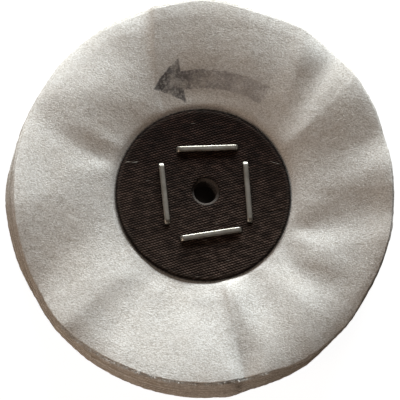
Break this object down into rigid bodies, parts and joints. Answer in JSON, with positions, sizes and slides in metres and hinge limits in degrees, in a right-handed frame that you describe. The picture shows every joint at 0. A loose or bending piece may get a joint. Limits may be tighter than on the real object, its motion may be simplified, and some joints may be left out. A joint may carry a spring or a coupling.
{
  "type": "polishing wheel",
  "caption": "Round polishing wheel of stacked soft cotton plies, clamped at the hub between dark reinforcing discs by flat wire staples set in a square around a central arbor hole.",
  "frame": {"origin": "centre of the arbor hole at half the thickness of the stack", "axes": "+Z along the arbor hole and out of the face that carries the staple crowns, +Y from the hole to the middle of the staple called top"},
  "size_m": [0.1, 0.1, 0.0142],
  "materials": {
    "flannel": "unbleached white cotton flannel with a raised nap, matt",
    "disc_board": "dark brown cloth-faced board with a fine rib, matt",
    "staple_wire": "drawn flat wire, satin"
  },
  "bodies": {
    "root": {"flannel_ply_01": "flannel", "flannel_ply_02": "flannel", "flannel_ply_03": "flannel", "flannel_ply_04": "flannel", "flannel_ply_05": "flannel", "flannel_ply_06": "flannel", "flannel_ply_07": "flannel", "flannel_ply_08": "flannel", "flannel_ply_09": "flannel", "flannel_ply_10": "flannel", "flannel_ply_11": "flannel", "flannel_ply_12": "flannel", "flannel_ply_13": "flannel", "flannel_ply_14": "flannel", "flannel_ply_15": "flannel", "flannel_ply_16": "flannel", "flannel_ply_17": "flannel", "flannel_ply_18": "flannel", "flannel_ply_19": "flannel", "flannel_ply_20": "flannel", "flannel_ply_21": "flannel", "flannel_ply_22": "flannel", "flannel_ply_23": "flannel", "flannel_ply_24": "flannel", "flannel_ply_25": "flannel", "flannel_ply_26": "flannel", "flannel_ply_27": "flannel", "flannel_ply_28": "flannel", "flannel_ply_29": "flannel", "flannel_ply_30": "flannel", "front_reinforcing_disc": "disc_board", "back_reinforcing_disc": "disc_board", "staple_top": "staple_wire", "staple_right": "staple_wire", "staple_bottom": "staple_wire", "staple_left": "staple_wire"}
  },
  "joints": []
}
